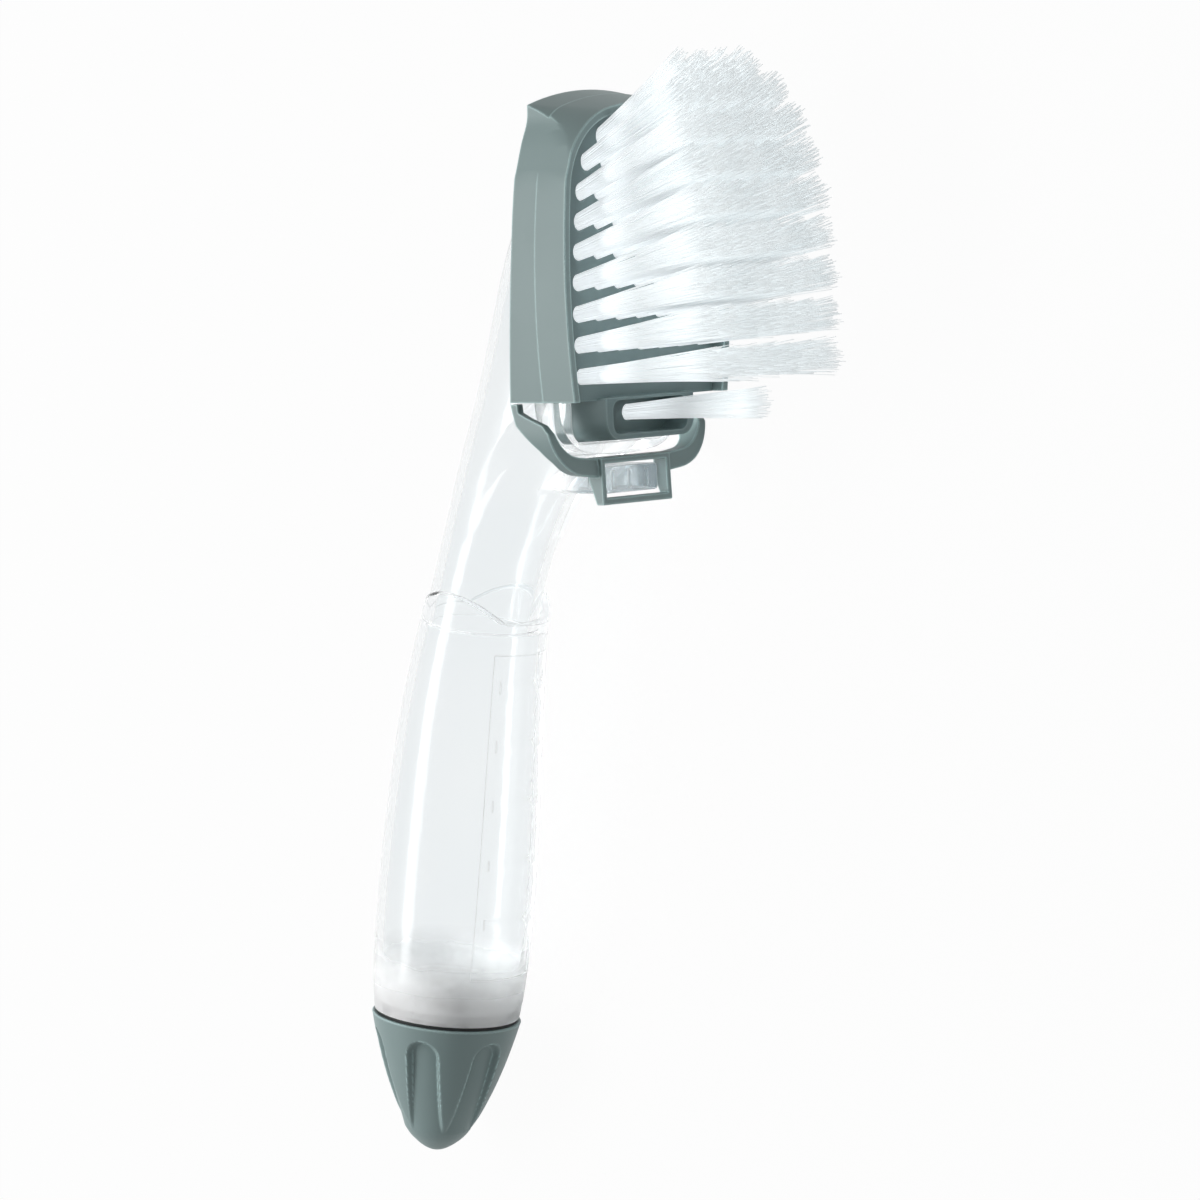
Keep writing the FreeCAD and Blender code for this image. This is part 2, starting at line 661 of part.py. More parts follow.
def make_valve_collar():
    """Ring pushed over the valve that clamps its flange on the shoe."""
    floor = shoe_back + shoe_floor + valve_flange + fit
    ring = post(outlet_at, floor, floor + collar_height, collar_radius)
    return ring.cut(post(outlet_at, floor - 1.0, floor + collar_height + 1.0, valve_radius + fit))


def make_cap_gasket():
    """Flat washer between the handle's lower end and the cap's rim."""
    ring = turned([(-gasket_thickness, gasket_bore), (0.0, gasket_bore), (0.0, gasket_radius),
                   (-gasket_thickness, gasket_radius)])
    return on_grip(ring)


def cap_curve(profile, first, last):
    """Smooth curve through (distance down, radius) places between two end points."""
    spots = [first] + [Vector(-down, -radius, 0) for down, radius in profile] + [last]
    curve = Part.BSplineCurve()
    if last.y == 0.0:
        curve.interpolate(spots, InitialTangent=Vector(-1.0, 0.2, 0), FinalTangent=Vector(0, 1, 0))
    else:
        curve.interpolate(spots)
    return curve.toShape()


def make_end_cap():
    """Screw cap: bullet outside with flutes to grip it, threaded bore and cored inside."""
    seat = gasket_thickness + gasket_fit
    rim = Vector(-seat, -cap_rim_radius, 0)
    tip = Vector(-cap_length, 0, 0)
    core = Vector(-seat, 0, 0)
    edges = [cap_curve(cap_profile, rim, tip), Part.makeLine(tip, core), Part.makeLine(core, rim)]
    cap = Part.Face(Part.Wire(edges)).revolve(Vector(0, 0, 0), Vector(1, 0, 0), 360)
    inside = [(0.0, 0.0), (0.0, cap_bore), (-cap_bore_depth, cap_bore)]
    inside += [(-down, radius) for down, radius in cap_cavity]
    inside.append((-cap_cavity[-1][0], 0.0))
    cap = cap.cut(turned(inside))
    flute = make_flute()
    for number in range(flute_count):
        cutter = flute.copy()
        turn = flute_phase + number * 360.0 / flute_count
        cutter.rotate(Vector(0, 0, 0), Vector(1, 0, 0), turn)
        cap = cap.cut(cutter)
    return on_grip(cap.removeSplitter())


def make_flute():
    """Cutter for one flute: arched top, parallel walls, and a floor that runs out at the bottom."""
    half = flute_width / 2
    bend = flute_start + half
    end = cap_length + 1.0
    spots = [Vector(-end, 0, -half), Vector(-bend, 0, -half), Vector(-flute_start, 0, 0),
             Vector(-bend, 0, half), Vector(-end, 0, half)]
    edges = [Part.makeLine(spots[0], spots[1]), Part.Arc(*spots[1:4]).toShape(),
             Part.makeLine(spots[3], spots[4]), Part.makeLine(spots[4], spots[0])]
    cutter = Part.Face(Part.Wire(edges)).extrude(Vector(0, -cap_rim_radius - 5.0, 0))
    first = Vector(-0.1, -cap_rim_radius, 0)
    last = Vector(-end - 2.0, -flute_floor[-1][1] + 1.0, 0)
    edges = [cap_curve(flute_floor, first, last), Part.makeLine(last, Vector(last.x, 0, 0)),
             Part.makeLine(Vector(last.x, 0, 0), Vector(first.x, 0, 0)),
             Part.makeLine(Vector(first.x, 0, 0), first)]
    kept = Part.Face(Part.Wire(edges)).revolve(Vector(0, 0, 0), Vector(1, 0, 0), 360)
    return cutter.cut(kept)


def settle(parts):
    """Lays the wand on its side on the plane z = 0, centred over the origin."""
    drop = head_half_width - max(radius for up, radius in grip_profile)
    reach = rim_along - grip_widest_at - back_widest_at
    lie = math.degrees(math.atan2(drop, reach))
    for shape in parts.values():
        shape.rotate(Vector(0, 0, 0), Vector(0, 1, 0), -lie)
    box = Part.makeCompound(list(parts.values())).optimalBoundingBox(False)
    centre = box.Center
    for shape in parts.values():
        shape.translate(Vector(-centre.x, -centre.y, -box.ZMin))


def build():
    rows = tuft_rows()
    parts = {"handle_reservoir": make_handle(),
             "outlet_valve": make_outlet_valve(),
             "valve_collar": make_valve_collar(),
             "cap_gasket": make_cap_gasket(),
             "end_cap": make_end_cap(),
             "head_shell": make_head_shell(),
             "release_strap": make_release_strap(),
             "tuft_block": make_tuft_block(rows)}
    anchors = []
    for number, row in enumerate(rows):
        tilt = row_tilt(number)
        tufts = [make_tuft(along, side, face_out, tilt, row_length(number)) for along, side in row]
        anchors += [make_anchor(along, side, face_out, tilt) for along, side in row]
        parts["tuft_row_%d" % (number + 1)] = Part.makeCompound(tufts)
    toe_length = tuft_length + face_out - trough_out - 4.0
    parts["toe_tuft"] = make_tuft(toe_tuft_at, 0.0, trough_out, toe_tuft_tilt, toe_length)
    anchors.append(make_anchor(toe_tuft_at, 0.0, trough_out, toe_tuft_tilt))
    parts["tuft_anchors"] = Part.makeCompound(anchors)
    settle(parts)
    for name, shape in parts.items():
        shape.exportStep("parts/%s.step" % name)
        print(name, len(shape.Solids), round(shape.Volume, 1), shape.isValid())


build()
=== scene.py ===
import math

import bmesh
import bpy
import numpy as np
from mathutils import Matrix, Vector


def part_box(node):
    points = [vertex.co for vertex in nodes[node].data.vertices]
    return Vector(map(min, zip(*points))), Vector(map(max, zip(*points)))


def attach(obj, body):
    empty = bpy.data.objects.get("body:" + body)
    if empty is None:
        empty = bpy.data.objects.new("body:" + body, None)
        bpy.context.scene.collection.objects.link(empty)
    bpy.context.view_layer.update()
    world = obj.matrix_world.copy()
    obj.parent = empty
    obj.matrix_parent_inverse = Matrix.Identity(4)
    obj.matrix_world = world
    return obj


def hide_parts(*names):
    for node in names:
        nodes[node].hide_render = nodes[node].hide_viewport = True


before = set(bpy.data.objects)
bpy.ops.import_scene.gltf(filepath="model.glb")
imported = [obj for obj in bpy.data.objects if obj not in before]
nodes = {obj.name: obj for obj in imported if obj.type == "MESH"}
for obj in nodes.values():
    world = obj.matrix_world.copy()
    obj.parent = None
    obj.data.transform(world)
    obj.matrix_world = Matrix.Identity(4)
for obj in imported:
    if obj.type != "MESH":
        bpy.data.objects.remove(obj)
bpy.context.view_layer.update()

# The wand's own coordinates: along from the tip of the head to the cap, out towards the bristle
# ends, side across. The wand lies on its side, so they are turned a little about the frame's Y.
wand = {"drop": 0.011, "reach": 0.1431, "rimAlong": 0.2211, "rimDepth": -0.0545, "gripAngle": 8.9,
        "gasketMiddle": -0.0004}
lie = -math.atan2(wand["drop"], wand["reach"])
turnToFrame = np.array([[math.cos(lie), 0, math.sin(lie)], [0, 1, 0], [-math.sin(lie), 0, math.cos(lie)]])


def gripToLocal(points):
    # (distance up the grip, y, side) turned by the grip's lean and moved to its lower end
    g = math.radians(wand["gripAngle"])
    p = np.asarray(points, float)
    x = p[..., 0] * math.cos(g) + p[..., 1] * math.sin(g) - wand["rimAlong"]
    y = -p[..., 0] * math.sin(g) + p[..., 1] * math.cos(g) - wand["rimDepth"]
    return np.stack([x, y, p[..., 2]], -1)


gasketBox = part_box("cap_gasket")
gasketCentre = np.array((gasketBox[0] + gasketBox[1]) / 2)
frameShift = gasketCentre - turnToFrame @ gripToLocal([wand["gasketMiddle"], 0, 0])


def toFrame(points):
    # frame point = turned local point + shift
    return np.asarray(points, float) @ turnToFrame.T + frameShift


def onHead(along, out, side):
    # local point = (-along, -out, side), broadcast over arrays
    return np.stack(np.broadcast_arrays(-np.asarray(along, float), -np.asarray(out, float),
                                        np.asarray(side, float)), -1)


print("stage: camera")
camera = {"place": (-0.00315, -1.06754, 1.25996), "right": (-0.0350, -0.7637, -0.6446),
          "up": (0.99689, 0.01889, -0.07656), "lens": 210.0, "sensor": 36.0, "near": 0.05, "far": 20.0}
camData = bpy.data.cameras.new("photoCamera")
camData.lens = camera["lens"]
camData.sensor_width = camera["sensor"]
camData.clip_start, camData.clip_end = camera["near"], camera["far"]
camObject = bpy.data.objects.new("photoCamera", camData)
bpy.context.scene.collection.objects.link(camObject)
camRight = turnToFrame @ np.array(camera["right"])
camRight /= np.linalg.norm(camRight)
camUp = turnToFrame @ np.array(camera["up"])
camUp -= camRight * (camUp @ camRight)
camUp /= np.linalg.norm(camUp)
camPose = np.eye(4)
camPose[:3] = np.stack([camRight, camUp, np.cross(camRight, camUp), toFrame(camera["place"])], -1)
camObject.matrix_world = Matrix(camPose.tolist())
bpy.context.scene.camera = camObject
bpy.context.scene.view_settings.view_transform = "Standard"

print("stage: materials")


def nodeIn(tree, kind, **values):
    # a node with its sockets set by name
    node = tree.nodes.new(kind)
    for name, value in values.items():
        node.inputs[name.replace("_", " ")].default_value = value
    return node


def rangeIn(tree, fromEnds=(0.0, 1.0), toEnds=(0.0, 1.0)):
    # a map from one pair of ends to another
    return nodeIn(tree, "ShaderNodeMapRange", From_Min=fromEnds[0], From_Max=fromEnds[1],
                  To_Min=toEnds[0], To_Max=toEnds[1])


def mathIn(tree, operation, second=None, kind="ShaderNodeMath"):
    # a node for one operation, its second value set where it isn't linked
    node = tree.nodes.new(kind)
    node.operation = operation
    if second is not None:
        node.inputs[1].default_value = second
    return node


def vectorIn(tree, operation, second=None):
    return mathIn(tree, operation, second, "ShaderNodeVectorMath")


def colourMix(tree, first=None, second=None):
    # a mix of two colours; a colour that isn't given is linked later
    mix = tree.nodes.new("ShaderNodeMix")
    mix.data_type = "RGBA"
    for name, colour in (("A", first), ("B", second)):
        if colour is not None:
            mix.inputs[name].default_value = (*colour, 1)
    return mix


grainValues = {"fineScale": 2500.0, "broadScale": 60.0, "depth": 0.1, "edgeRadius": 0.0008,
               "creviceReach": 0.005, "fineDetail": 3.0, "fineRoughness": 0.6, "broadDetail": 2.0,
               "broadRoughness": 0.5, "squeeze": (0.35, 0.65), "bumpDistance": 0.0001, "samples": 4,
               "edgeAgree": (0.995, 0.88), "creviceSky": (0.85, 0.0)}


def makeGrainGroup():
    # moulded skin: height = fine noise, mask = broad noise squeezed between two limits, edge = how far the
    # normal of a rounded edge leaves the face's own (the mask for a painted edge highlight), crevice = how
    # much of the near sky is hidden (the mask for painted shade in crevices)
    group = bpy.data.node_groups.new("mouldedGrain", "ShaderNodeTree")
    face = group.interface
    for name, key in (("Fine Scale", "fineScale"), ("Broad Scale", "broadScale"), ("Depth", "depth"),
                      ("Edge Radius", "edgeRadius"), ("Crevice Reach", "creviceReach")):
        face.new_socket(name, in_out="INPUT", socket_type="NodeSocketFloat").default_value = grainValues[key]
    for name, kind in (("Normal", "NodeSocketVector"), ("Mask", "NodeSocketFloat"),
                       ("Fine", "NodeSocketFloat"), ("Edge", "NodeSocketFloat"),
                       ("Crevice", "NodeSocketFloat")):
        face.new_socket(name, in_out="OUTPUT", socket_type=kind)
    entry = group.nodes.new("NodeGroupInput")
    leave = group.nodes.new("NodeGroupOutput")
    coords = group.nodes.new("ShaderNodeTexCoord")
    fine = nodeIn(group, "ShaderNodeTexNoise", Detail=grainValues["fineDetail"],
                  Roughness=grainValues["fineRoughness"])
    broad = nodeIn(group, "ShaderNodeTexNoise", Detail=grainValues["broadDetail"],
                   Roughness=grainValues["broadRoughness"])
    squeeze = rangeIn(group, grainValues["squeeze"])
    bump = nodeIn(group, "ShaderNodeBump", Distance=grainValues["bumpDistance"])
    rounded = group.nodes.new("ShaderNodeBevel")
    rounded.samples = grainValues["samples"]
    surface = group.nodes.new("ShaderNodeNewGeometry")
    agree = vectorIn(group, "DOT_PRODUCT")
    edge = rangeIn(group, grainValues["edgeAgree"])
    sky = group.nodes.new("ShaderNodeAmbientOcclusion")
    sky.samples = grainValues["samples"]
    crevice = rangeIn(group, grainValues["creviceSky"])
    link = group.links.new
    link(entry.outputs["Edge Radius"], rounded.inputs["Radius"])
    link(rounded.outputs["Normal"], agree.inputs[0])
    link(surface.outputs["Normal"], agree.inputs[1])
    link(agree.outputs["Value"], edge.inputs["Value"])
    link(edge.outputs["Result"], leave.inputs["Edge"])
    link(entry.outputs["Crevice Reach"], sky.inputs["Distance"])
    link(sky.outputs["AO"], crevice.inputs["Value"])
    link(crevice.outputs["Result"], leave.inputs["Crevice"])
    link(coords.outputs["Object"], fine.inputs["Vector"])
    link(coords.outputs["Object"], broad.inputs["Vector"])
    link(entry.outputs["Fine Scale"], fine.inputs["Scale"])
    link(entry.outputs["Broad Scale"], broad.inputs["Scale"])
    link(entry.outputs["Depth"], bump.inputs["Strength"])
    link(fine.outputs["Fac"], bump.inputs["Height"])
    link(broad.outputs["Fac"], squeeze.inputs["Value"])
    link(bump.outputs["Normal"], leave.inputs["Normal"])
    link(squeeze.outputs["Result"], leave.inputs["Mask"])
    link(fine.outputs["Fac"], leave.inputs["Fine"])
    return group


grainGroup = makeGrainGroup()


def grainIn(tree, values):
    # the moulded skin with a material's own scales and depth
    grain = tree.nodes.new("ShaderNodeGroup")
    grain.node_tree = grainGroup
    grain.inputs["Fine Scale"].default_value = values["fineScale"]
    grain.inputs["Broad Scale"].default_value = values["broadScale"]
    grain.inputs["Depth"].default_value = values["depth"]
    return grain


def startMaterial(name):
    # a new material, its node tree and its main shader
    material = bpy.data.materials.new(name)
    material.use_nodes = True
    tree = material.node_tree
    return material, tree, tree.nodes["Principled BSDF"]


def mouldedPlastic(name, values):
    # colour = mix of two near colours by the broad mask, with a painted highlight on edges and painted
    # shade in crevices; roughness = low + fine noise * spread
    material, tree, shader = startMaterial(name)
    grain = grainIn(tree, values)
    mix = colourMix(tree, values["colour"], values["shade"])
    # painted highlight: the colour made paler on rounded edges
    paintedEdgeHighlight = colourMix(tree, None, [min(1.0, part * values["edgeHighlightLift"]) for part in values["colour"]])
    # painted shade: the colour made darker in crevices
    shaded = colourMix(tree, None, [part * values["creviceShadeDrop"] for part in values["colour"]])
    rough = rangeIn(tree, toEnds=(values["roughLow"], values["roughHigh"]))
    link = tree.links.new
    link(grain.outputs["Mask"], mix.inputs["Factor"])
    link(mix.outputs["Result"], paintedEdgeHighlight.inputs["A"])
    link(grain.outputs["Edge"], paintedEdgeHighlight.inputs["Factor"])
    link(paintedEdgeHighlight.outputs["Result"], shaded.inputs["A"])
    link(grain.outputs["Crevice"], shaded.inputs["Factor"])
    link(shaded.outputs["Result"], shader.inputs["Base Color"])
    link(grain.outputs["Fine"], rough.inputs["Value"])
    link(rough.outputs["Result"], shader.inputs["Roughness"])
    link(grain.outputs["Normal"], shader.inputs["Normal"])
    shader.inputs["IOR"].default_value = values["ior"]
    return material


# in each moulded material edgeHighlightLift sets the painted edge highlight and creviceShadeDrop the painted
# shade in crevices
greyPlastic = mouldedPlastic("greyPlastic", {
    "colour": (0.280, 0.372, 0.368), "shade": (0.262, 0.350, 0.347), "fineScale": 2600.0,
    "broadScale": 45.0, "depth": 0.25, "roughLow": 0.40, "roughHigh": 0.56, "ior": 1.46,
    "edgeHighlightLift": 2.6, "creviceShadeDrop": 0.15})
# painted shade: a darker copy of the grey plastic, standing for the shade among the tufts
shadedGreyPlastic = mouldedPlastic("shadedGreyPlastic", {
    "colour": (0.190, 0.262, 0.262), "shade": (0.168, 0.236, 0.238), "fineScale": 2200.0,
    "broadScale": 60.0, "depth": 0.3, "roughLow": 0.42, "roughHigh": 0.6, "ior": 1.46,
    "edgeHighlightLift": 1.4, "creviceShadeDrop": 0.6})
# the gasket's near-black colour draws the dark line between the cap and the handle
blackRubber = mouldedPlastic("blackRubber", {
    "colour": (0.016, 0.018, 0.018), "shade": (0.010, 0.012, 0.012), "fineScale": 3500.0,
    "broadScale": 90.0, "depth": 0.35, "roughLow": 0.55, "roughHigh": 0.75, "ior": 1.42,
    "edgeHighlightLift": 1.5, "creviceShadeDrop": 0.5})
valveSilicone = mouldedPlastic("valveSilicone", {
    "colour": (0.58, 0.61, 0.60), "shade": (0.52, 0.55, 0.54), "fineScale": 3000.0,
    "broadScale": 80.0, "depth": 0.3, "roughLow": 0.45, "roughHigh": 0.62, "ior": 1.41,
    "edgeHighlightLift": 1.2, "creviceShadeDrop": 0.6})

steelValues = {"stretch": (1.0, 1.0, 12.0), "scale": 900.0, "detail": 2.0, "rough": (0.22, 0.42),
               "bright": (0.62, 0.62, 0.61), "dull": (0.50, 0.50, 0.50)}


def drawnSteel():
    # colour and roughness both follow one noise, stretched along the wire
    material, tree, shader = startMaterial("drawnSteel")
    coords = tree.nodes.new("ShaderNodeTexCoord")
    stretch = nodeIn(tree, "ShaderNodeMapping", Scale=steelValues["stretch"])
    noise = nodeIn(tree, "ShaderNodeTexNoise", Scale=steelValues["scale"], Detail=steelValues["detail"])
    rough = rangeIn(tree, toEnds=steelValues["rough"])
    tone = colourMix(tree, steelValues["bright"], steelValues["dull"])
    link = tree.links.new
    link(coords.outputs["Object"], stretch.inputs["Vector"])
    link(stretch.outputs["Vector"], noise.inputs["Vector"])
    link(noise.outputs["Fac"], rough.inputs["Value"])
    link(noise.outputs["Fac"], tone.inputs["Factor"])
    link(tone.outputs["Result"], shader.inputs["Base Color"])
    link(rough.outputs["Result"], shader.inputs["Roughness"])
    shader.inputs["Metallic"].default_value = 1.0
    return material


# hazeAlong is measured down the grip from a point rimAlong above its mouth; catchAlong and catchOut
# are the head's along and out at the near sides of the catch
clearValues = {"tint": (0.930, 0.945, 0.950), "tintDeep": (0.916, 0.936, 0.944), "ior": 1.19,
               "fineScale": 350.0, "broadScale": 24.0, "depth": 0.02, "rough": (0.015, 0.05),
               "hazeAlong": (0.2035, 0.2165), "hazeRough": 0.30, "shadowShare": 0.92,
               "shadowTint": (0.95, 0.965, 0.965), "coat": 0.16, "coatRough": 0.27, "specular": 0.3,
               "milk": (1.0, 1.0, 1.0), "milkShare": 0.88, "blotchScale": 150.0, "blotchDetail": 1.0,
               "blotchNoise": (0.4, 0.6), "blotchShare": (0.78, 1.0), "catchTint": (0.19, 0.24, 0.26),
               "catchAlong": (0.0862, 0.0880), "catchOut": (-0.004, 0.002), "deepest": 5.5,
               "lineRadius": 0.00045, "lineShare": 0.6, "shoe": (0.0815, 0.010, 0.0),
               "shoeReach": (0.021, 0.014), "shoeRough": 0.16}


def placeMask(tree, coords, axis, ends):
    # 0 to 1 between two distances along one of the head's axes
    direction = turnToFrame @ (onHead(*axis) - onHead(0, 0, 0))
    start = float(direction @ toFrame(onHead(0, 0, 0)))
    distance = vectorIn(tree, "DOT_PRODUCT", direction)
    ramp = rangeIn(tree, (ends[0] + start, ends[1] + start))
    tree.links.new(coords.outputs["Object"], distance.inputs[0])
    tree.links.new(distance.outputs["Value"], ramp.inputs["Value"])
    return ramp


def clearPlastic():
    # clear shell: roughness = low + mask * spread, rising over the last stretch before the mouth and
    # round the shoe. White is mixed in by the greater of milk, blotched and rising towards the mouth,
    # and of painted highlight lines on the edges. The catch is tinted dark grey. Most of a shadow ray
    # goes through, and a ray past the deepest bounce goes straight on.
    material, tree, shader = startMaterial("clearPlastic")
    grain = grainIn(tree, clearValues)
    grain.inputs["Edge Radius"].default_value = clearValues["lineRadius"]
    coords = tree.nodes.new("ShaderNodeTexCoord")
    shader.inputs["Transmission Weight"].default_value = 1.0
    shader.inputs["IOR"].default_value = clearValues["ior"]
    shader.inputs["Specular IOR Level"].default_value = clearValues["specular"]
    shader.inputs["Coat Weight"].default_value = clearValues["coat"]
    shader.inputs["Coat Roughness"].default_value = clearValues["coatRough"]
    link = tree.links.new
    link(grain.outputs["Normal"], shader.inputs["Normal"])

    # distance down the grip = the dot product of the place with the grip's direction
    offset = vectorIn(tree, "SUBTRACT", toFrame(gripToLocal([wand["rimAlong"], 0, 0])))
    along = vectorIn(tree, "DOT_PRODUCT",
                     toFrame(gripToLocal([-1.0, 0, 0])) - toFrame(gripToLocal([0.0, 0, 0])))
    link(coords.outputs["Object"], offset.inputs[0])
    link(offset.outputs["Vector"], along.inputs[0])

    rough = rangeIn(tree, toEnds=clearValues["rough"])
    haze = rangeIn(tree, clearValues["hazeAlong"], (0.0, clearValues["hazeRough"]))
    hazed = mathIn(tree, "ADD")
    fromShoe = vectorIn(tree, "DISTANCE", toFrame(onHead(*clearValues["shoe"])))
    frost = rangeIn(tree, clearValues["shoeReach"], (0.0, clearValues["shoeRough"]))
    frosted = mathIn(tree, "ADD")
    link(grain.outputs["Mask"], rough.inputs["Value"])
    link(along.outputs["Value"], haze.inputs["Value"])
    link(rough.outputs["Result"], hazed.inputs[0])
    link(haze.outputs["Result"], hazed.inputs[1])
    link(coords.outputs["Object"], fromShoe.inputs[0])
    link(fromShoe.outputs["Value"], frost.inputs["Value"])
    link(hazed.outputs["Value"], frosted.inputs[0])
    link(frost.outputs["Result"], frosted.inputs[1])
    link(frosted.outputs["Value"], shader.inputs["Roughness"])

    tint = colourMix(tree, clearValues["tint"], clearValues["tintDeep"])
    pastStrap = placeMask(tree, coords, (1, 0, 0), clearValues["catchAlong"])
    outOfNeck = placeMask(tree, coords, (0, 1, 0), clearValues["catchOut"])
    atCatch = mathIn(tree, "MULTIPLY")
    catchColour = colourMix(tree, None, clearValues["catchTint"])
    link(grain.outputs["Mask"], tint.inputs["Factor"])
    link(tint.outputs["Result"], catchColour.inputs["A"])
    link(pastStrap.outputs["Result"], atCatch.inputs[0])
    link(outOfNeck.outputs["Result"], atCatch.inputs[1])
    link(atCatch.outputs["Value"], catchColour.inputs["Factor"])
    link(catchColour.outputs["Result"], shader.inputs["Base Color"])

    milky = rangeIn(tree, clearValues["hazeAlong"], (0.0, clearValues["milkShare"]))
    blotch = nodeIn(tree, "ShaderNodeTexNoise", Scale=clearValues["blotchScale"],
                    Detail=clearValues["blotchDetail"])
    blotchShare = rangeIn(tree, clearValues["blotchNoise"], clearValues["blotchShare"])
    cloudy = mathIn(tree, "MULTIPLY")
    # painted highlight: white lines along the edges
    line = mathIn(tree, "MULTIPLY", clearValues["lineShare"])
    pale = mathIn(tree, "MAXIMUM")
    # this white serves both the milky haze and the painted highlight lines
    milk = nodeIn(tree, "ShaderNodeBsdfDiffuse", Color=(*clearValues["milk"], 1))
    cloud = tree.nodes.new("ShaderNodeMixShader")
    link(along.outputs["Value"], milky.inputs["Value"])
    link(coords.outputs["Object"], blotch.inputs["Vector"])
    link(blotch.outputs["Fac"], blotchShare.inputs["Value"])
    link(milky.outputs["Result"], cloudy.inputs[0])
    link(blotchShare.outputs["Result"], cloudy.inputs[1])
    link(grain.outputs["Edge"], line.inputs[0])
    link(cloudy.outputs["Value"], pale.inputs[0])
    link(line.outputs["Value"], pale.inputs[1])
    link(pale.outputs["Value"], cloud.inputs["Fac"])
    link(shader.outputs["BSDF"], cloud.inputs[1])
    link(milk.outputs["BSDF"], cloud.inputs[2])

    path = tree.nodes.new("ShaderNodeLightPath")
    share = mathIn(tree, "MULTIPLY", clearValues["shadowShare"])
    through = nodeIn(tree, "ShaderNodeBsdfTransparent", Color=(*clearValues["shadowTint"], 1))
    mix = tree.nodes.new("ShaderNodeMixShader")
    deep = mathIn(tree, "GREATER_THAN", clearValues["deepest"])
    straight = tree.nodes.new("ShaderNodeBsdfTransparent")
    final = tree.nodes.new("ShaderNodeMixShader")
    link(path.outputs["Is Shadow Ray"], share.inputs[0])
    link(share.outputs["Value"], mix.inputs["Fac"])
    link(cloud.outputs["Shader"], mix.inputs[1])
    link(through.outputs["BSDF"], mix.inputs[2])
    link(path.outputs["Ray Depth"], deep.inputs[0])
    link(deep.outputs["Value"], final.inputs["Fac"])
    link(mix.outputs["Shader"], final.inputs[1])
    link(straight.outputs["BSDF"], final.inputs[2])
    link(final.outputs["Shader"], tree.nodes["Material Output"].inputs["Surface"])
    return material


nylonValues = {"streak": (0.80, 0.83, 0.84), "white": (0.89, 0.905, 0.91), "whiteFrom": 0.45,
               "rootTone": (0.89, 0.91, 0.92), "rootEnd": (0.0, 0.5), "rough": (0.28, 0.48), "ior": 1.5,
               "rootGlow": (0.98, 0.99, 1.0), "middleGlow": (0.34, 0.35, 0.355),
               "tipGlow": (0.72, 0.75, 0.76), "middle": 0.5, "glowStrength": 0.52,
               "throughShare": 0.45, "shadowShare": 0.75}


def nylonBristle():
    # colour by the fibre's own random number (u) and by the place along it (v); part of the light
    # goes through a fibre, and a faint glow by v stands for light scattered inside the tuft
    material, tree, shader = startMaterial("nylonBristle")
    uv = tree.nodes.new("ShaderNodeUVMap")
    uv.uv_map = "fibre"
    split = tree.nodes.new("ShaderNodeSeparateXYZ")
    tone = tree.nodes.new("ShaderNodeValToRGB")
    tone.color_ramp.elements[0].color = (*nylonValues["streak"], 1)
    tone.color_ramp.elements[1].color = (*nylonValues["white"], 1)
    tone.color_ramp.elements[1].position = nylonValues["whiteFrom"]
    fade = rangeIn(tree, nylonValues["rootEnd"])
    mix = colourMix(tree, nylonValues["rootTone"])
    rough = rangeIn(tree, toEnds=nylonValues["rough"])
    glow = tree.nodes.new("ShaderNodeValToRGB")
    glow.color_ramp.elements[0].color = (*nylonValues["rootGlow"], 1)
    glow.color_ramp.elements[1].color = (*nylonValues["tipGlow"], 1)
    glow.color_ramp.elements.new(nylonValues["middle"]).color = (*nylonValues["middleGlow"], 1)
    through = tree.nodes.new("ShaderNodeBsdfTranslucent")
    body = nodeIn(tree, "ShaderNodeMixShader", Fac=nylonValues["throughShare"])
    path = tree.nodes.new("ShaderNodeLightPath")
    share = mathIn(tree, "MULTIPLY", nylonValues["shadowShare"])
    openLight = tree.nodes.new("ShaderNodeBsdfTransparent")
    final = tree.nodes.new("ShaderNodeMixShader")
    shader.inputs["IOR"].default_value = nylonValues["ior"]
    shader.inputs["Emission Strength"].default_value = nylonValues["glowStrength"]
    link = tree.links.new
    link(uv.outputs["UV"], split.inputs["Vector"])
    link(split.outputs["X"], tone.inputs["Fac"])
    link(split.outputs["Y"], fade.inputs["Value"])
    link(fade.outputs["Result"], mix.inputs["Factor"])
    link(tone.outputs["Color"], mix.inputs["B"])
    link(mix.outputs["Result"], shader.inputs["Base Color"])
    link(mix.outputs["Result"], through.inputs["Color"])
    link(split.outputs["X"], rough.inputs["Value"])
    link(rough.outputs["Result"], shader.inputs["Roughness"])
    link(split.outputs["Y"], glow.inputs["Fac"])
    link(glow.outputs["Color"], shader.inputs["Emission Color"])
    link(shader.outputs["BSDF"], body.inputs[1])
    link(through.outputs["BSDF"], body.inputs[2])
    link(path.outputs["Is Shadow Ray"], share.inputs[0])
    link(share.outputs["Value"], final.inputs["Fac"])
    link(body.outputs["Shader"], final.inputs[1])
    link(openLight.outputs["BSDF"], final.inputs[2])
    link(final.outputs["Shader"], tree.nodes["Material Output"].inputs["Surface"])
    return material


steel = drawnSteel()
clear = clearPlastic()
nylon = nylonBristle()


def wear(node, material):
    # a CAD node keeps its mesh and takes a finished material
    slots = nodes[node].data.materials
    slots.clear()
    slots.append(material)


print("stage: carried-over nodes")
wear("outlet_valve", valveSilicone)
wear("valve_collar", shadedGreyPlastic)
wear("tuft_anchors", steel)
wear("cap_gasket", blackRubber)

joining = {"cadDistance": 2e-6, "ownDistance": 1e-7, "flatAngle": 0.4}


def markSharp(work, limit):
    # an edge is smooth where two faces meet at less than the limit
    for edge in work.edges:
        edge.smooth = len(edge.link_faces) == 2 and edge.calc_face_angle(0.0) < limit


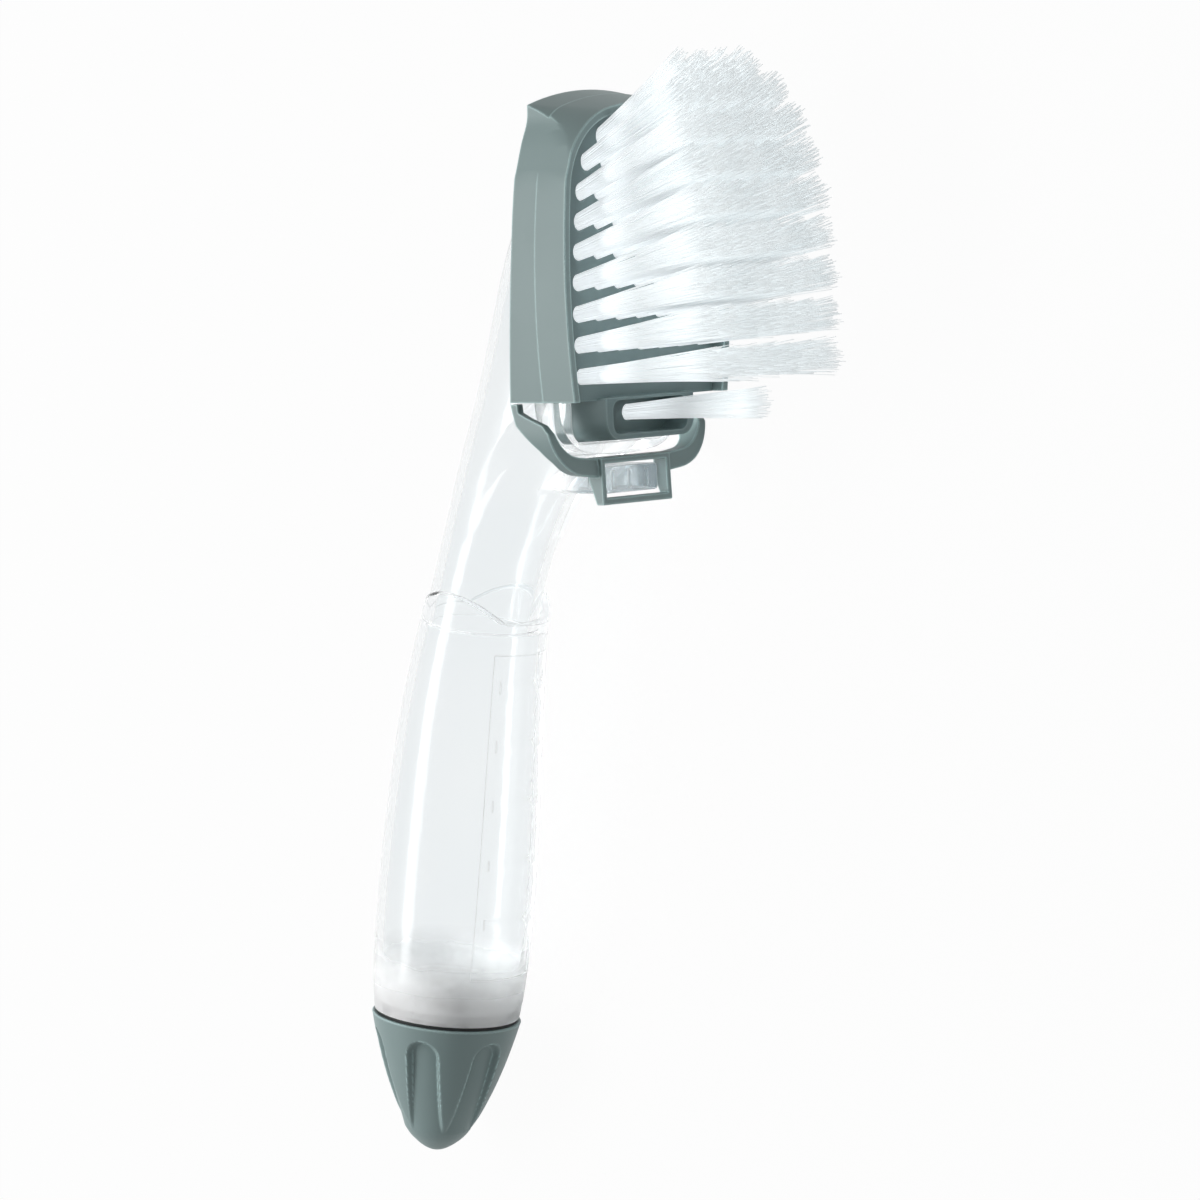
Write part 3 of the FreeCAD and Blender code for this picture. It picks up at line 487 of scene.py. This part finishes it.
def finished(node, name, material, body, bevel, smoothAngle):
    # a merged copy of a CAD node, its sharp edges rounded where a bevel is given and its curved faces
    # shaded smooth
    mesh = nodes[node].data.copy()
    mesh.name = name
    work = bmesh.new()
    work.from_mesh(mesh)
    bmesh.ops.remove_doubles(work, verts=work.verts, dist=joining["cadDistance"])
    bmesh.ops.dissolve_degenerate(work, edges=work.edges, dist=joining["cadDistance"])
    if bevel:
        bmesh.ops.dissolve_limit(work, angle_limit=math.radians(joining["flatAngle"]), verts=work.verts,
                                 edges=work.edges)
    for face in work.faces:
        face.smooth = True
    limit = math.radians(smoothAngle)
    markSharp(work, limit)
    work.to_mesh(mesh)
    work.free()
    mesh.materials.clear()
    mesh.materials.append(material)
    piece = bpy.data.objects.new(name, mesh)
    bpy.context.scene.collection.objects.link(piece)
    if bevel:
        rounding = piece.modifiers.new("edgeRounding", "BEVEL")
        rounding.width = bevel
        rounding.segments = 2
        rounding.limit_method = "ANGLE"
        rounding.angle_limit = limit
        rounding.use_clamp_overlap = False
        rounding.harden_normals = True
    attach(piece, body)
    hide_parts(node)


print("stage: moulded pieces")
bevels = {"shell": 0.00016, "strap": 0.00022, "block": 0.0, "handle": 0.0}
smoothing = {"shell": 32, "strap": 32, "block": 30, "handle": 38}
finished("head_shell", "headShell", greyPlastic, "head", bevels["shell"], smoothing["shell"])
finished("release_strap", "releaseStrap", greyPlastic, "strap", bevels["strap"],
         smoothing["strap"])
finished("tuft_block", "tuftBlock", shadedGreyPlastic, "head", bevels["block"], smoothing["block"])
finished("handle_reservoir", "clearHandle", clear, "handle", bevels["handle"],
         smoothing["handle"])


def meshFrom(name, points, quads, material, uvs=None):
    # vertices and four-sided faces from whole arrays
    mesh = bpy.data.meshes.new(name)
    flat = np.ascontiguousarray(points.reshape(-1, 3), dtype=np.float32)
    quads = np.ascontiguousarray(quads.reshape(-1, 4), dtype=np.int32)
    mesh.vertices.add(len(flat))
    mesh.vertices.foreach_set("co", flat.ravel())
    mesh.loops.add(quads.size)
    mesh.loops.foreach_set("vertex_index", quads.ravel())
    mesh.polygons.add(len(quads))
    mesh.polygons.foreach_set("loop_start", np.arange(0, quads.size, 4, dtype=np.int32))
    mesh.polygons.foreach_set("use_smooth", np.ones(len(quads), bool))
    if uvs is not None:
        layer = mesh.uv_layers.new(name="fibre")
        layer.uv.foreach_set("vector", uvs.reshape(-1, 2)[quads.ravel()].astype(np.float32).ravel())
    mesh.update(calc_edges=True)
    mesh.materials.append(material)
    piece = bpy.data.objects.new(name, mesh)
    bpy.context.scene.collection.objects.link(piece)
    return piece


def gridQuads(rows, columns):
    # faces of a grid whose last column meets its first
    row = (np.arange(rows - 1) * columns)[:, None]
    column = np.arange(columns)
    after = (column + 1) % columns
    return np.stack([row + column, row + after, row + columns + after, row + columns + column], -1)


def closePoles(piece, smoothAngle):
    # merges each pole's vertices, turns the faces outwards and marks the sharp edges
    work = bmesh.new()
    work.from_mesh(piece.data)
    bmesh.ops.remove_doubles(work, verts=work.verts, dist=joining["ownDistance"])
    bmesh.ops.dissolve_degenerate(work, edges=work.edges, dist=joining["ownDistance"])
    bmesh.ops.recalc_face_normals(work, faces=work.faces)
    markSharp(work, math.radians(smoothAngle))
    work.to_mesh(piece.data)
    work.free()


def smoothCurve(places, startSlope, endSlope, steps):
    # cubic curve through places: between two of them h00 p0 + h10 m0 + h01 p1 + h11 m1, with the slopes
    # from the neighbours
    p = np.asarray(places, float)
    gap = np.linalg.norm(np.diff(p, axis=0), axis=1)
    knot = np.concatenate([[0.0], np.cumsum(gap)])
    slope = np.empty_like(p)
    before, after = gap[:-1, None], gap[1:, None]
    slope[1:-1] = ((p[1:-1] - p[:-2]) / before * after
                   + (p[2:] - p[1:-1]) / after * before) / (before + after)
    slope[0], slope[-1] = startSlope, endSlope
    spot = np.linspace(0, knot[-1], steps)
    part = np.clip(np.searchsorted(knot, spot, side="right") - 1, 0, len(gap) - 1)
    t = ((spot - knot[part]) / gap[part])[:, None]
    reach = gap[part][:, None]
    return ((2 * t ** 3 - 3 * t ** 2 + 1) * p[part] + (t ** 3 - 2 * t ** 2 + t) * reach * slope[part]
            + (3 * t ** 2 - 2 * t ** 3) * p[part + 1] + (t ** 3 - t ** 2) * reach * slope[part + 1])


print("stage: cap")
cap = {"seat": 0.00083, "rimRadius": 0.0181, "length": 0.0346, "rimRound": 0.0004, "rimSteps": 5,
       "profile": [(0.007, 0.0166), (0.0135, 0.0147), (0.020, 0.01235), (0.0265, 0.0094), (0.0314, 0.0060)],
       "rimSlope": (0.98, -0.196), "noseSlope": (0.0, -1.0), "skinStart": 1.2,
       "bore": 0.0128, "boreDepth": 0.0096, "core": [(0.0096, 0.0096), (0.017, 0.0084), (0.025, 0.0046)],
       "flutes": 6, "phase": -8.0, "fluteWidth": 0.0084, "fluteStart": 0.0044, "wallBlend": 0.0007,
       "floor": [(-0.0001, 0.0181), (0.0036, 0.0160), (0.0135, 0.0131), (0.020, 0.01105), (0.0265, 0.0089),
                 (0.033, 0.0069)], "floorDegree": 4, "columns": 384, "rows": 120, "smoothAngle": 40}


def capPiece():
    # rings of (down, radius) turned about the grip's axis; inside a flute the radius falls to the flute's
    # floor, over a short wall: radius - (radius - floor) * smooth(depth inside the flute's outline / wall)
    seat, rim = cap["seat"], cap["rimRadius"]
    inner = ([(cap["core"][-1][0], 0.0)] + cap["core"][::-1]
             + [(cap["boreDepth"], cap["bore"]), (seat, cap["bore"])])
    turn = np.linspace(0, math.pi / 2, cap["rimSteps"])
    lip = np.stack([seat + cap["rimRound"] * (1 - np.cos(turn)),
                    rim - cap["rimRound"] * (1 - np.sin(turn))], -1)
    skin = smoothCurve([(seat, rim)] + cap["profile"] + [(cap["length"], 0.0)], cap["rimSlope"],
                       cap["noseSlope"], cap["rows"])
    skin = skin[skin[:, 0] > seat + cap["rimRound"] * cap["skinStart"]]
    rings = np.concatenate([np.array(inner), lip, skin])
    outside = np.arange(len(rings)) >= len(inner) + len(lip)
    down, radius = rings[:, :1], rings[:, 1:]
    theta = np.arange(cap["columns"]) / cap["columns"] * 2 * math.pi
    bottom = np.polyval(np.polyfit(*np.array(cap["floor"]).T, cap["floorDegree"]), down)
    half = cap["fluteWidth"] / 2
    bend = cap["fluteStart"] + half
    step = 2 * math.pi / cap["flutes"]
    local = (theta - math.radians(cap["phase"]) + step / 2) % step - step / 2
    side = radius * np.sin(local)
    edge = np.where(down > bend, half - np.abs(side), half - np.hypot(down - bend, side))
    inside = np.clip(edge / cap["wallBlend"], 0, 1)
    inside = inside * inside * (3 - 2 * inside) * outside[:, None]
    shown = radius - np.maximum(radius - bottom, 0) * inside
    points = np.stack([-down * np.ones_like(theta), -shown * np.cos(theta), -shown * np.sin(theta)], -1)
    piece = meshFrom("endCap", toFrame(gripToLocal(points)), gridQuads(len(rings), cap["columns"]),
                     greyPlastic)
    closePoles(piece, cap["smoothAngle"])
    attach(piece, "cap")
    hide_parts("end_cap")


capPiece()

# section: (place along the mouth in half widths, height in ridge heights) of the ridge's four corners
thread = {"radius": 0.0122, "height": 0.00042, "pitch": 0.003, "start": 0.0016, "turns": 1.9,
          "halfWidth": 0.0008, "steps": 180, "fade": 14, "leastHeight": 0.02, "smoothAngle": 50,
          "section": [[-1.0, -0.25], [-0.3, 1.0], [0.3, 1.0], [1.0, -0.25]]}


def threadPiece():
    # ridge along a helix on the mouth, fading in and out at its ends
    share = np.linspace(0, 1, thread["steps"])[:, None]
    turn = share * thread["turns"] * 2 * math.pi
    down = thread["start"] + share * thread["turns"] * thread["pitch"]
    fade = np.clip(np.minimum(share, 1 - share) * thread["fade"], thread["leastHeight"], 1)
    shape = np.array(thread["section"])
    radius = thread["radius"] + thread["height"] * np.where(shape[:, 1] > 0, shape[:, 1] * fade, shape[:, 1])
    place = down + shape[:, 0] * thread["halfWidth"]
    points = np.stack([-place, -radius * np.cos(turn), -radius * np.sin(turn)], -1)
    quads = gridQuads(thread["steps"], 4).reshape(-1, 4)
    last = (thread["steps"] - 1) * 4
    ends = np.array([[0, 1, 2, 3], [last + 3, last + 2, last + 1, last]])
    piece = meshFrom("mouthThread", toFrame(gripToLocal(points)), np.concatenate([quads, ends]), clear)
    closePoles(piece, thread["smoothAngle"])
    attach(piece, "handle")


threadPiece()

print("stage: bristles")
tufts = {"pitch": 0.0073, "lastRow": 0.0662, "counts": [4, 6, 7, 7, 7, 7, 7, 7, 7],
         "spans": [0.0231, 0.0346, 0.0392, 0.0410, 0.0424, 0.0434, 0.0440, 0.0438, 0.0432],
         "shifts": [0.0028, 0.0012, 0.0009, 0.0005, 0.0002, 0.0, 0.0, 0.0, 0.0],
         "face": 0.0139, "rootRadius": 0.00182, "tipRadius": 0.0033, "spreadPower": 1.15, "length": 0.0405,
         "tipLength": 0.031, "shortRows": 4.0, "shortPower": 1.5, "tilt": 4.0, "fan": 3.4, "flare": 1.25,
         "fibres": 96, "fibreRadius": 0.00013, "taper": 0.25, "taperPower": 4, "rings": 7, "sunk": 0.0015,
         "trim": 0.0005, "stray": 0.00035, "strayPower": 2, "wave": 0.00012, "waves": 6.0,
         "goldenTurn": 2.39996, "fullTurn": 6.28, "discJitter": 0.03, "fibreTone": 0.6, "tuftTone": 0.4}
toeTuft = {"along": 0.0756, "out": 0.0092, "tilt": 3.5, "length": 0.0412}
rng = np.random.default_rng(7)


def fibreQuads(fibres, rings):
    # for each fibre its four sides between two rings, then the root ends, then the tip ends
    first = (np.arange(fibres) * rings * 4)[:, None]
    corner = first[..., None] + (np.arange(rings - 1) * 4)[:, None] + np.arange(4)
    nextCorner = first[..., None] + (np.arange(rings - 1) * 4)[:, None] + (np.arange(4) + 1) % 4
    sides = np.stack([corner, corner + 4, nextCorner + 4, nextCorner], -1).reshape(-1, 4)
    rootEnd = first + np.array([0, 1, 2, 3])
    tipEnd = first + (rings - 1) * 4 + np.array([3, 2, 1, 0])
    return np.concatenate([sides, rootEnd, tipEnd])


def bristles(name, roots, axis, length, replaced):
    # each fibre is a thin tube: centre(t) = root + spread(t) * offset + axis * length * t + a small wave,
    # offset on a sunflower disc, spread growing from the root radius to the tip radius
    count, tuftCount = tufts["fibres"], len(roots)
    number = np.arange(count)
    level = np.array([0.0, 0.0, 1.0])
    cross = np.cross(axis, level)
    turn = number * tufts["goldenTurn"] + rng.uniform(0, tufts["fullTurn"], (tuftCount, 1))
    reach = np.sqrt((number + 0.5) / count) * (1 + rng.normal(0, tufts["discJitter"], (tuftCount, count)))
    disc = np.stack([reach * np.cos(turn), reach * np.sin(turn)], -1)
    t = np.linspace(0, 1, tufts["rings"])
    spread = tufts["rootRadius"] + (tufts["tipRadius"] - tufts["rootRadius"]) * t ** tufts["spreadPower"]
    stray = rng.normal(0, tufts["stray"], (tuftCount, count, 1, 2)) * (t[:, None] ** tufts["strayPower"])
    phase = rng.uniform(0, tufts["fullTurn"], (tuftCount, count, 1, 2))
    wave = tufts["wave"] * t[:, None] * np.sin(tufts["waves"] * t[:, None] + phase)
    widen = np.stack([np.ones_like(t), 1 + (tufts["flare"] - 1) * t], -1)
    flat = disc[:, :, None, :] * spread[:, None] * widen + stray + wave
    lengths = length + rng.normal(0, tufts["trim"], (tuftCount, count, 1)) + tufts["sunk"]
    centre = (roots[:, None, None, :] + flat[..., :1] * level + flat[..., 1:] * cross
              + (lengths * t - tufts["sunk"])[..., None] * axis)
    around = np.arange(4) * math.pi / 2 + math.pi / 4
    ring = np.cos(around)[:, None] * level + np.sin(around)[:, None] * cross
    radius = tufts["fibreRadius"] * (1 - tufts["taper"] * t ** tufts["taperPower"])
    tube = centre[..., None, :] + ring * radius[:, None, None]
    tone = (rng.uniform(0, 1, (tuftCount, count, 1, 1)) * tufts["fibreTone"]
            + rng.uniform(0, tufts["tuftTone"], (tuftCount, 1, 1, 1)))
    uvs = np.stack(np.broadcast_arrays(tone, t[:, None] * np.ones(4)), -1)
    piece = meshFrom(name, toFrame(tube), fibreQuads(tuftCount * count, tufts["rings"]), nylon, uvs)
    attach(piece, "head")
    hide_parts(replaced)


def tuftAxis(tilt):
    # straight out from the head, leaning towards its tip by the tilt
    lean = math.radians(tilt)
    return np.array([math.sin(lean), -math.cos(lean), 0.0])


lastNumber = len(tufts["counts"]) - 1
for rowNumber, count in enumerate(tufts["counts"]):
    along = tufts["lastRow"] - (lastNumber - rowNumber) * tufts["pitch"] + tufts["shifts"][rowNumber]
    across = (np.arange(count) / (count - 1) - 0.5) * tufts["spans"][rowNumber]
    share = max(0.0, 1.0 - rowNumber / tufts["shortRows"]) ** tufts["shortPower"]
    length = tufts["length"] + (tufts["tipLength"] - tufts["length"]) * share
    axis = tuftAxis(tufts["tilt"] + tufts["fan"] * (lastNumber - rowNumber))
    bristles("bristleRow%d" % (rowNumber + 1), onHead(along, tufts["face"], across), axis, length,
             "tuft_row_%d" % (rowNumber + 1))
bristles("bristleToe", onHead([toeTuft["along"]], toeTuft["out"], 0.0), tuftAxis(toeTuft["tilt"]),
         toeTuft["length"], "toe_tuft")

print("stage: floor and light")
studio = {"skyColour": (0.97, 0.99, 1.0), "world": 0.21, "seenWorld": 1.0, "mirrorDepth": 1.5,
          "aim": (0.0, 0.0, 0.03), "keyPlace": (0.0, 0.80, 1.05), "keyPower": 10.9, "keyLength": 1.0,
          "keyWidth": 0.28, "fillPlace": (0.0, -1.1, 0.9), "fillPower": 0.4, "fillSize": 1.0}
floorValues = {"reach": 4, "height": -0.0002, "colour": (0.66, 0.67, 0.67), "noiseScale": 9.0,
               "noiseDetail": 2.0, "rough": (0.75, 0.9), "lift": 0.965}


def makeFloor():
    # one quad; rays from the camera, mirrors and clear plastic see it lifted towards white
    mesh = bpy.data.meshes.new("floor")
    reach, height = floorValues["reach"], floorValues["height"]
    mesh.from_pydata([(-reach, -reach, height), (reach, -reach, height), (reach, reach, height),
                      (-reach, reach, height)], [], [(0, 1, 2, 3)])
    floor = bpy.data.objects.new("floor", mesh)
    bpy.context.scene.collection.objects.link(floor)
    material, tree, shader = startMaterial("paleFloor")
    coords = tree.nodes.new("ShaderNodeTexCoord")
    noise = nodeIn(tree, "ShaderNodeTexNoise", Scale=floorValues["noiseScale"],
                   Detail=floorValues["noiseDetail"])
    rough = rangeIn(tree, toEnds=floorValues["rough"])
    shader.inputs["Base Color"].default_value = (*floorValues["colour"], 1)
    shader.inputs["Specular IOR Level"].default_value = 0.0
    path = tree.nodes.new("ShaderNodeLightPath")
    glow = nodeIn(tree, "ShaderNodeEmission", Color=(1, 1, 1, 1), Strength=1.0)
    mirrored = mathIn(tree, "MAXIMUM")
    seen = mathIn(tree, "MAXIMUM")
    lift = mathIn(tree, "MULTIPLY", floorValues["lift"])
    mix = tree.nodes.new("ShaderNodeMixShader")
    link = tree.links.new
    link(coords.outputs["Object"], noise.inputs["Vector"])
    link(noise.outputs["Fac"], rough.inputs["Value"])
    link(rough.outputs["Result"], shader.inputs["Roughness"])
    link(path.outputs["Is Camera Ray"], mirrored.inputs[0])
    link(path.outputs["Is Glossy Ray"], mirrored.inputs[1])
    link(mirrored.outputs["Value"], seen.inputs[0])
    link(path.outputs["Is Transmission Ray"], seen.inputs[1])
    link(seen.outputs["Value"], lift.inputs[0])
    link(lift.outputs["Value"], mix.inputs["Fac"])
    link(shader.outputs["BSDF"], mix.inputs[1])
    link(glow.outputs["Emission"], mix.inputs[2])
    link(mix.outputs["Shader"], tree.nodes["Material Output"].inputs["Surface"])
    mesh.materials.append(material)


def makeWorld():
    # white where the camera and clear plastic see it, and in mirrors inside the plastic; plainer where it
    # lights the object
    world = bpy.data.worlds.new("studioWorld")
    bpy.context.scene.world = world
    world.use_nodes = True
    tree = world.node_tree
    back = tree.nodes["Background"]
    back.inputs["Color"].default_value = (*studio["skyColour"], 1)
    path = tree.nodes.new("ShaderNodeLightPath")
    seen = mathIn(tree, "MAXIMUM")
    deep = mathIn(tree, "GREATER_THAN", studio["mirrorDepth"])
    mirrored = mathIn(tree, "MULTIPLY")
    either = mathIn(tree, "MAXIMUM")
    level = rangeIn(tree, toEnds=(studio["world"], studio["seenWorld"]))
    link = tree.links.new
    link(path.outputs["Is Camera Ray"], seen.inputs[0])
    link(path.outputs["Is Transmission Ray"], seen.inputs[1])
    link(path.outputs["Ray Depth"], deep.inputs[0])
    link(deep.outputs["Value"], mirrored.inputs[0])
    link(path.outputs["Is Glossy Ray"], mirrored.inputs[1])
    link(seen.outputs["Value"], either.inputs[0])
    link(mirrored.outputs["Value"], either.inputs[1])
    link(either.outputs["Value"], level.inputs["Value"])
    link(level.outputs["Result"], back.inputs["Strength"])


def softLight(name, place, power, size, sizeY):
    # a rectangle lamp that looks at the studio's aim
    lamp = bpy.data.lights.new(name, "AREA")
    lamp.shape = "RECTANGLE"
    lamp.size, lamp.size_y, lamp.energy = size, sizeY, power
    lampObject = bpy.data.objects.new(name, lamp)
    bpy.context.scene.collection.objects.link(lampObject)
    lampObject.location = place
    lampObject.rotation_mode = "QUATERNION"
    lampObject.rotation_quaternion = (Vector(studio["aim"]) - Vector(place)).to_track_quat("-Z", "Y")


makeFloor()
makeWorld()
softLight("keyLight", studio["keyPlace"], studio["keyPower"], studio["keyLength"], studio["keyWidth"])
softLight("fillLight", studio["fillPlace"], studio["fillPower"], studio["fillSize"], studio["fillSize"])

print("stage: done")
